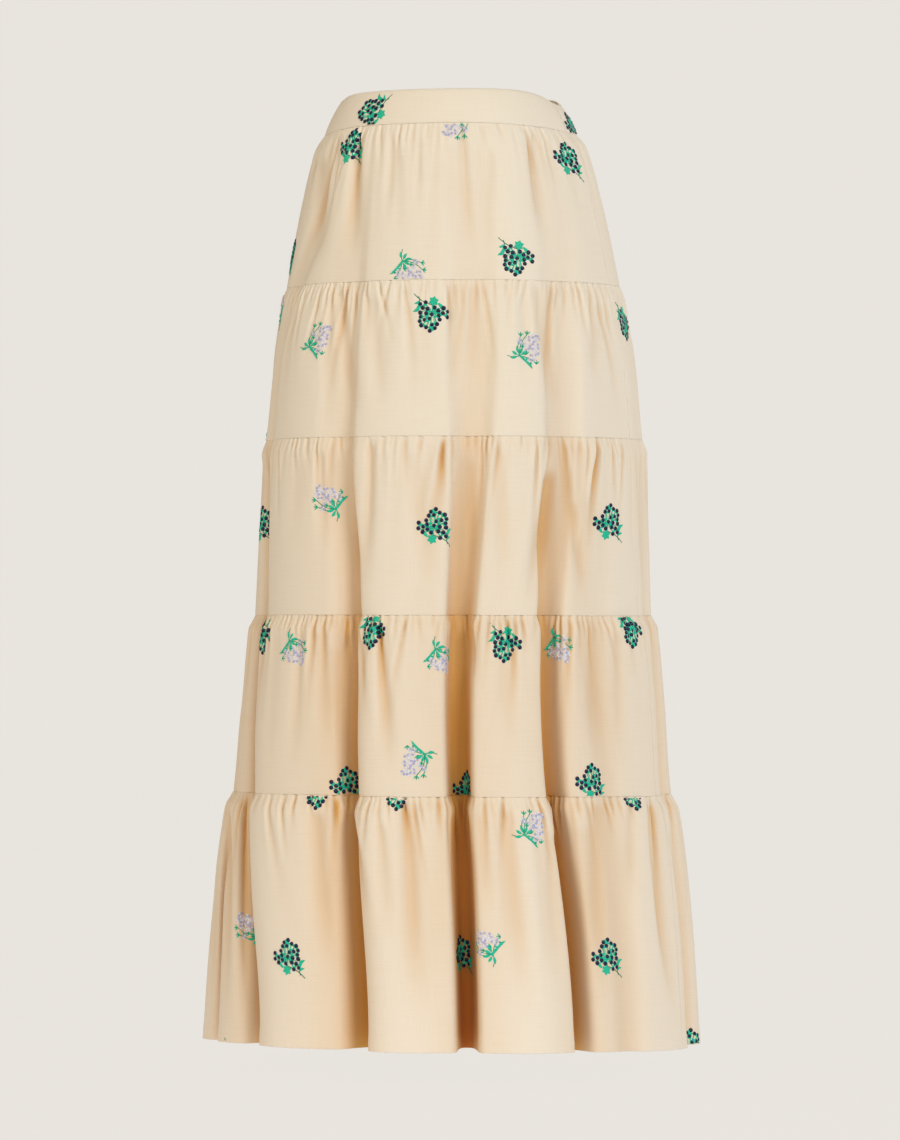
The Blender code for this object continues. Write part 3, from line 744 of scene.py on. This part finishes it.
def addLeaf(stitches, base, tip, width, height, kind, bend=0.0, steps=6):
    # A pointed leaf of satin stitches slanting from a middle vein.
    dx, dy = tip[0] - base[0], tip[1] - base[1]
    length = math.hypot(dx, dy)
    ux, uy = dx / length, dy / length
    grid = []
    for i in range(steps + 1):
        t = i / steps
        half = width * 0.5 * (math.sin(math.pi * min(t * 0.96 + 0.04, 1.0)) ** 0.75)
        sway = bend * math.sin(math.pi * t)
        arch = height * math.sin(math.pi * (0.08 + 0.84 * t)) ** 0.5
        row = []
        for lane, lift in ((1.0, 0.0), (0.5, 1.0), (0.0, 0.7), (-0.5, 1.0), (-1.0, 0.0)):
            x = base[0] + ux * length * t - uy * (half * lane + sway)
            y = base[1] + uy * length * t + ux * (half * lane + sway)
            row.append(((x, y, arch * lift), (length * t - abs(half * lane) * 0.8, half * lane)))
        grid.append(row)
    stitches.addGrid(grid, kind)


def addPetal(stitches, centre, turn, length, width, height, kind):
    # A round ended petal, wide beyond its middle.
    grid = []
    for t, spread in ((0.12, 0.35), (0.45, 0.85), (0.8, 1.0), (1.0, 0.45)):
        row = []
        for lane, lift in ((1.0, 0.0), (0.0, 1.0), (-1.0, 0.0)):
            aside = 0.5 * width * spread * lane
            x, y = spun((length * t, aside), turn)
            up = height * lift * (1.0 - 0.3 * t)
            row.append(((centre[0] + x, centre[1] + y, up), (aside, length * t)))
        grid.append(row)
    stitches.addGrid(grid, kind)


def addStem(stitches, points, radius, kind):
    # A line of stem stitch: a low half round along a curve.
    grid = []
    walked = 0.0
    for i, point in enumerate(points):
        ahead = points[min(i + 1, len(points) - 1)]
        behind = points[max(i - 1, 0)]
        dx, dy = ahead[0] - behind[0], ahead[1] - behind[1]
        length = math.hypot(dx, dy) or 1.0
        nx, ny = -dy / length, dx / length
        if i:
            walked += math.hypot(point[0] - points[i - 1][0], point[1] - points[i - 1][1])
        row = []
        for lane, lift in ((1.0, 0.0), (0.0, 1.0), (-1.0, 0.0)):
            aside = radius * lane
            place = (point[0] + nx * aside, point[1] + ny * aside, radius * 1.2 * lift)
            row.append((place, (walked, aside)))
        grid.append(row)
    stitches.addGrid(grid, kind)


def curveOf(a, b, bow, steps=4):
    # Points of a bowed line from a to b.
    dx, dy = b[0] - a[0], b[1] - a[1]
    made = []
    for i in range(steps + 1):
        t = i / steps
        lift = bow * math.sin(math.pi * t)
        made.append((a[0] + dx * t - dy * lift, a[1] + dy * t + dx * lift))
    return made


def away(point, degrees, length):
    turn = math.radians(degrees)
    return point[0] + length * math.cos(turn), point[1] + length * math.sin(turn)


def berrySprig():
    # Round berries on a fan of forked stalks under a lobed leaf, with curved leaves beside.
    made = StitchMesh()
    leaf, stem, berry = (kindIndex[n] for n in ("leaf", "stem", "berry"))
    thin, thick = sprig["stemRadius"], sprig["stemRadius"] * 1.5
    rng = random.Random(sprig["seed"])
    heart, leafReach = sprig["lobedLeaf"]
    fork, hub = (1.5, 8), (1.5, 1.5)
    addStem(made, curveOf((-17, 19), fork, -0.08, 7), thin, stem)
    addStem(made, curveOf((-12.5, 16.5), (-12.5, 6), 0.12), thin, stem)
    addStem(made, curveOf(fork, hub, 0.05), thick, leaf)
    middle = sprig["clusterMiddle"]
    spots = []
    for _ in range(4000):
        turn = rng.uniform(0.0, 2.0 * math.pi)
        edge = sprig["clusterRadius"] * (1.0 + sprig["clusterLobe"] * math.cos(3.0 * turn - 0.6))
        reach = edge * math.sqrt(rng.random())
        place = (middle[0] + reach * math.cos(turn), middle[1] + 0.9 * reach * math.sin(turn))
        clear = all(math.dist(place, other) > sprig["berryGap"] for other in spots)
        if clear and math.dist(place, heart) > leafReach + 0.8 and len(spots) < sprig["berryCount"]:
            spots.append(place)
    for number, spot in enumerate(spots):
        inward = math.atan2(hub[1] - spot[1], hub[0] - spot[0])
        reach = math.hypot(hub[0] - spot[0], hub[1] - spot[1])
        root = spun((min(reach, 9.0), 0.0), inward)
        root = (spot[0] + root[0], spot[1] + root[1])
        addStem(made, curveOf(spot, root, rng.uniform(-0.2, 0.2)), thick if number % 2 else thin, leaf)
        side = math.degrees(inward) + rng.choice((-1, 1)) * rng.uniform(35, 80)
        length = sprig["smallLeafLength"] * rng.uniform(0.75, 1.1)
        if number % 3 != 1:
            bend = rng.uniform(-0.5, 0.5)
            addLeaf(made, spot, away(spot, side, length), length * 0.44, 0.5, leaf, bend)
    for turn in range(15, 360, 60):
        tip = away(heart, turn, leafReach)
        addLeaf(made, away(heart, turn, -1.0), tip, leafReach * 0.75, 0.6, leaf, 0.2)
    addLeaf(made, (-11.5, 12.5), (-10, 4.5), 2.6, 0.55, leaf, -1)
    addLeaf(made, (-12.5, 9), (-18.5, 1.5), 3.8, 0.6, leaf, 2.4, 8)
    addLeaf(made, (-12, 12), (-17, 9.5), 2.4, 0.5, leaf, 0.8)
    for spot in spots:
        addBerry(made, spot, sprig["berryRadius"] * rng.uniform(0.9, 1.06), sprig["berryHeight"],
                 rng.uniform(0, 3.1), berry)
    return made


def flowerSprig():
    # A loose head of small five petalled flowers over a leafy stem.
    made = StitchMesh()
    leaf, dark, stem = (kindIndex[n] for n in ("leaf", "darkLeaf", "stem"))
    petal, white, centre = (kindIndex[n] for n in ("petal", "whitePetal", "centre"))
    heart = (-7, -6)
    thin = sprig["stemRadius"]
    addStem(made, curveOf((-19, -5.5), heart, -0.1, 5), thin * 0.8, stem)
    for place in sprig["buds"]:
        addStem(made, curveOf(heart, place, 0.12), thin * 0.9, dark)
    addLeaf(made, (-8, -5), (0.5, -12.5), 2.8, 0.7, leaf, 0.8)
    addLeaf(made, (-2, -10), (6, -18.5), 2.8, 0.7, leaf, 1.0)
    addLeaf(made, (0, -12), (1, -7), 2.2, 0.5, leaf)
    addLeaf(made, (4, -15), (5, -11.5), 1.6, 0.5, dark)
    for turn, length in sprig["heartLeaves"]:
        addLeaf(made, away(heart, turn, 2.6), away(heart, turn, length + 0.8), 2.9, 0.6, leaf, 0.3)
        addStem(made, [heart, away(heart, turn, 3.2)], thin, leaf)
    for x, y in sprig["buds"]:
        for turn in (45, 85, 125):
            addLeaf(made, (x, y), away((x, y), turn, 4.4), 1.3, 0.45, dark if turn == 85 else leaf)
    rng = random.Random(sprig["seed"] + 1)
    for number, place in enumerate(sprig["flowers"]):
        start = rng.uniform(0, 1.2)
        radius = sprig["flowerRadius"] * rng.uniform(0.9, 1.08)
        for k in range(5):
            turn = start + 2.0 * math.pi * k / 5
            kind = white if (number + k) % 3 else petal
            addPetal(made, place, turn, radius, radius * 0.78, 0.6, kind)
        addBerry(made, place, 0.65, 0.75, 0.0, centre, 6)
    return made


def placeSprig(panel, stitches, column, drop, turn, store):
    # Lays a sprig on a panel, its middle drop millimetres below the panel's top, which may be off
    # the panel. What goes over the edges is cut off.
    points = panel["points"]
    rows, columns = points.shape[:2]
    below = panel["below"]
    row = int(np.argmin(abs(below - drop)))
    near = points[row, max(column - sprig["nearRow"], 0):column + sprig["nearRow"] + 1]
    spacing = np.linalg.norm(np.diff(near, axis=0), axis=1).mean()
    turn = math.radians(turn)
    flat = np.array([(*spun((x, y), turn), z) for x, y, z in stitches.points])
    u = column + flat[:, 0] / spacing
    down = drop - flat[:, 1]
    margin, edge = sprig["margin"]
    inside = (u > margin) & (u < columns - 1 - margin) & (down > edge) & (down < panel["high"] - edge)
    u = np.clip(u, margin, columns - 1.001 - margin)
    v = np.interp(np.clip(down, edge, panel["high"] - edge), below, np.arange(rows))
    v = np.clip(v, 0.0, rows - 1.001)
    c, r = u.astype(int), v.astype(int)
    fu, fv = (u - c)[:, None], (v - r)[:, None]

    def blend(grid):
        upper = grid[r, c] * (1 - fu) + grid[r, c + 1] * fu
        lower = grid[r + 1, c] * (1 - fu) + grid[r + 1, c + 1] * fu
        return upper * (1 - fv) + lower * fv

    out = blend(panel["normals"])
    out /= np.linalg.norm(out, axis=1)[:, None]
    placed = blend(points) + out * (flat[:, 2] + sprig["lift"])[:, None]
    base = len(store.points)
    keep = [k for k, face in enumerate(stitches.faces) if sum(inside[i] for i in face) >= 3]
    store.points.extend(map(tuple, placed))
    store.maps.extend(stitches.maps)
    store.faces.extend(tuple(base + i for i in stitches.faces[k]) for k in keep)
    store.kinds.extend(stitches.kinds[k] for k in keep)


def nearestSpots(panel, x, y):
    # Where a panel shows at a point of the picture: how far off, how near, column and drop.
    across, up = framePlace(panel["points"])
    wantUp = view["frameHigh"] / 2 - y
    miss = (across - (x - view["frameWide"] / 2)) ** 2 + (up - wantUp) ** 2
    miss = np.where((panel["normals"] @ viewBack) > 0.02, miss, 1e6)  # only cloth that faces the camera
    rows, columns = np.where(miss < miss.min() + sprig["missRoom"][0])
    toward = panel["points"][rows, columns] @ viewBack
    best = int(np.argmax(toward))
    row, column = int(rows[best]), int(columns[best])
    drop = float(panel["below"][row] + up[row, column] - wantUp)
    return float(miss.min()), float(toward[best]), column, drop


def sewSprigs(panels, stores):
    rng = random.Random(sprig["seed"])
    motifs = {"B": berrySprig(), "F": flowerSprig()}
    shown = [(number, *row) for number, rows in sprig["shown"].items() for row in rows]
    for tierNumber, kind, x, y, turn in shown:
        found = [(nearestSpots(panel, x, y), panel)
                 for panel in panels if panel["tierNumber"] == tierNumber]
        most = min(spot[0] for spot, _ in found) + sprig["missRoom"][1]
        (_, _, column, drop), panel = max((pair for pair in found if pair[0][0] < most),
                                          key=lambda pair: pair[0][1])
        placeSprig(panel, motifs[kind], column, drop, turn, stores[panel["name"]])
    count = 0
    for tierNumber, below in sprig["hiddenRows"]:
        for panel in [one for one in panels if one["tierNumber"] == tierNumber]:
            row = int(np.argmin(abs(panel["below"] - below)))
            spacing = np.linalg.norm(np.diff(panel["points"][row], axis=0), axis=1).mean()
            columns = panel["points"].shape[1]
            step = int(sprig["hiddenStep"] / spacing)
            start = int(step * (0.25 + 0.5 * (count % 2)))
            for column in range(start, columns, step):
                spot = min(max(column + rng.randint(-6, 6), 2), columns - 3)
                if panel["points"][row, spot] @ viewBack > sprig["behind"]:
                    continue
                kind = "BF"[count % 2]
                turns = sprig["turns"][kind]
                turn = turns[count // 2 % len(turns)]
                drop = below + rng.uniform(-9.0, 9.0)
                placeSprig(panel, motifs[kind], spot, drop, turn, stores[panel["name"]])
                count += 1
    return count


def stitchObject(name, store, materials):
    # Points of faces that were cut off are left out.
    used, faces = np.unique(np.array(store.faces), return_inverse=True)
    points, places = np.array(store.points)[used], np.array(store.maps)[used]
    obj = mappedObject(name, points, faces.reshape(-1, 4).tolist(), "stitchMap", places)
    for material in materials:
        obj.data.materials.append(material)
    obj.data.polygons.foreach_set("material_index", store.kinds)
    obj.data.shade_smooth()
    return obj


def bandPanel(side):
    # One half of the waistband: smooth, pressed, with a rounded top fold.
    high = bandTop - bandBottom
    below = np.array(cloth["bandRows"])
    points, normals, _, _, _ = ringRows(side, bandTop, bandBottom, cloth["bandStep"], below)
    share = below / high
    crown = cloth["bandCrown"] * np.sin(np.pi * share) ** 0.8
    topIn = cloth["bandTopIn"] * (1.0 - ease(below / 2.0))
    lowIn = cloth["roll"] * (1.0 - ease((high - below) / cloth["rollRun"]))
    points = points + normals * (crown - topIn - lowIn)[:, None, None]
    turnSides(points, normals, cloth["bandSideIn"])
    return newPanel(points, below, high, np.zeros(points.shape[:2]), 0, "waistband_" + side)


def addAllowance(panel):
    # The tier's gathered top edge carries on up inside the tier above.
    points = panel["points"]
    normals = levelNormals(points[0])
    up = np.array([0.0, 0.0, 1.0])
    rises = [cloth["allowance"] * share for share in cloth["allowanceRows"]]
    rows = []
    for rise, share in zip(rises, cloth["allowanceRows"]):
        inward = cloth["allowanceIn"] * min(1.0, 0.35 + share) + cloth["allowanceSlope"] * rise
        rows.append(points[0] - normals * inward + up * rise)
    # The seam allowance gets a little painted shade.
    paintedShadeAmount = np.full((len(rows), points.shape[1]), cloth["allowanceShade"])
    return dict(panel, points=np.concatenate([rows, points]), dip=np.concatenate([paintedShadeAmount, panel["dip"]]),
                below=np.concatenate([-np.array(rises), panel["below"]]))


def makeCloth():
    panels = []
    fabric = clothMaterial()
    threadMaterials = [threadMaterial(*row) for row in threads.values()]
    for side in ("front", "back"):
        panels.append(bandPanel(side))
        panels.extend(clothPanel(index, side) for index in range(len(tiers)))
    print("cloth panels worked out:", len(panels))
    stores = {panel["name"]: StitchMesh() for panel in panels}
    hidden = sewSprigs(panels, stores)
    print("sprigs sewn, hidden ones:", hidden)
    for panel in panels:
        isBand = panel["tierNumber"] == 0
        shell = panel if isBand else addAllowance(panel)
        name = "cloth_" + panel["name"]
        piece = panelMesh(name, shell, cloth["bandThick"] if isBand else cloth["thick"])
        piece.data.materials.append(fabric)
        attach(piece, "skirt")
        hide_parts(panel["name"])
        store = stores[panel["name"]]
        if store.faces:
            stitched = stitchObject("embroidery_" + panel["name"], store, threadMaterials)
            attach(stitched, "skirt")
    print("cloth and embroidery made")


zipFinish = {"nickel": "#C9C4BA", "tapeDark": "#D8C6A4", "tapeLight": "#F0E2C6"}


def nickelMaterial():
    # Nickel plated zinc, tumbled smooth: soft grey shine with faint clouding.
    material, tree, shader = newMaterial("nickelPlatedZinc")
    place = addNode(tree, "ShaderNodeTexCoord")
    noise = addNode(tree, "ShaderNodeTexNoise", {"Scale": 900.0, "Detail": 3.0},
                    {"Vector": place.outputs["Object"]})
    rough = addNode(tree, "ShaderNodeMapRange", {"To Min": 0.24, "To Max": 0.42},
                    {"Value": noise.outputs["Fac"]})
    values = {"Base Color": linear(zipFinish["nickel"]), "Metallic": 1.0}
    fillSockets(tree, shader, values, {"Roughness": rough.outputs["Result"]})
    return material


def tapeMaterial():
    # Woven polyester zip tape with its nylon coil, dyed to match the cloth.
    material, tree, shader = newMaterial("wovenZipTape")
    place = addNode(tree, "ShaderNodeTexCoord")
    wave = addNode(tree, "ShaderNodeTexWave",
                   {"bands_direction": "Z", "Scale": 120.0, "Distortion": 0.4},
                   {"Vector": place.outputs["Object"]})
    colour = mixColours(tree, zipFinish["tapeDark"], zipFinish["tapeLight"], wave.outputs["Fac"])
    bump = addBump(tree, wave.outputs["Fac"], 0.4, 0.0003)
    fillSockets(tree, shader, {"Roughness": 0.7}, {"Base Color": colour, "Normal": bump})
    return material


def dressZip():
    metal = nickelMaterial()
    for node in ("zip_slider", "zip_pull"):
        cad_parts[node].material_slots[0].material = metal
    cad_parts["zip_tape"].material_slots[0].material = tapeMaterial()
    print("zip finished")


studio = {
    "floorDrop": 30.0,
    "wallBack": 9000.0,
    "wallHigh": 5200.0,
    "halfWidth": 4200.0,
    "front": 950.0,
    "paper": "#EAE6E0",
    "glow": 0.97,
    "world": "#F3E2C8",
    "worldStrength": 0.28,
    # Name, place, size, power and colour of each soft light.
    "lights": (
        ("keyLight", (3200.0, -3000.0, 1500.0), 1500.0, 96.0, "#FFFBF3"),
        ("fillLight", (-2600.0, -3600.0, 1300.0), 2400.0, 70.0, "#FFE7C2"),
        ("frontLight", (900.0, -4200.0, 1400.0), 2000.0, 25.0, "#FFFFFF"),
        ("backLight", (2600.0, 3200.0, 1300.0), 2400.0, 34.0, "#FFF3E0"),
    ),
}


def makeStudio():
    # A pale floor under the skirt and a wall far behind it.
    floorHeight = form["sections"][-1][0] - form["sections"][-1][4] - studio["floorDrop"]
    wide, back = studio["halfWidth"], studio["wallBack"]
    profile = ((-studio["front"], 0.0), (back, 0.0), (back, studio["wallHigh"]))
    points = [(side, y, z + floorHeight) for side in (-wide, wide) for y, z in profile]
    faces = [(0, 3, 4, 1), (1, 4, 5, 2)]
    floor = mappedObject("studioSweep", points, faces, "floorMap", [point[:2] for point in points])
    # Paper lit from all sides glows evenly, with hardly a shadow.
    material, tree, shader = newMaterial("litPaper")
    fillSockets(tree, shader, {
        "Base Color": (0.02, 0.02, 0.02, 1.0), "Roughness": 1.0, "Specular IOR Level": 0.0,
        "Emission Color": linear(studio["paper"]), "Emission Strength": studio["glow"],
    }, {})
    floor.data.materials.append(material)


skirtMiddle = Vector((0.0, 0.0, view["centreHeight"] * mm))


def aimAtSkirt(obj):
    obj.rotation_mode = "QUATERNION"
    obj.rotation_quaternion = (skirtMiddle - obj.location).to_track_quat("-Z", "Y")


def makeLights():
    for name, place, size, power, colour in studio["lights"]:
        bpy.ops.object.light_add(type="AREA", location=[c * mm for c in place])
        light = bpy.context.active_object
        light.name = name
        light.data.size = size * mm
        light.data.energy = power
        light.data.color = linear(colour)[:3]
        aimAtSkirt(light)
    world = bpy.data.worlds.new("paleRoom")
    bpy.context.scene.world = world
    world.use_nodes = True
    bpy.context.scene.view_settings.view_transform = "Standard"
    background = world.node_tree.nodes["Background"]
    background.inputs["Color"].default_value = linear(studio["world"])
    background.inputs["Strength"].default_value = studio["worldStrength"]


def makeCamera():
    bpy.ops.object.camera_add()
    camera = bpy.context.active_object
    camera.name = "photoCamera"
    camera.data.sensor_width = view["sensor"]
    camera.data.lens = view["sensor"] * view["distance"] / view["frameHigh"]
    camera.location = skirtMiddle + Vector(viewBack) * view["distance"] * mm
    aimAtSkirt(camera)
    bpy.context.scene.camera = camera


makeCamera()
makeCloth()
dressZip()
makeStudio()
makeLights()
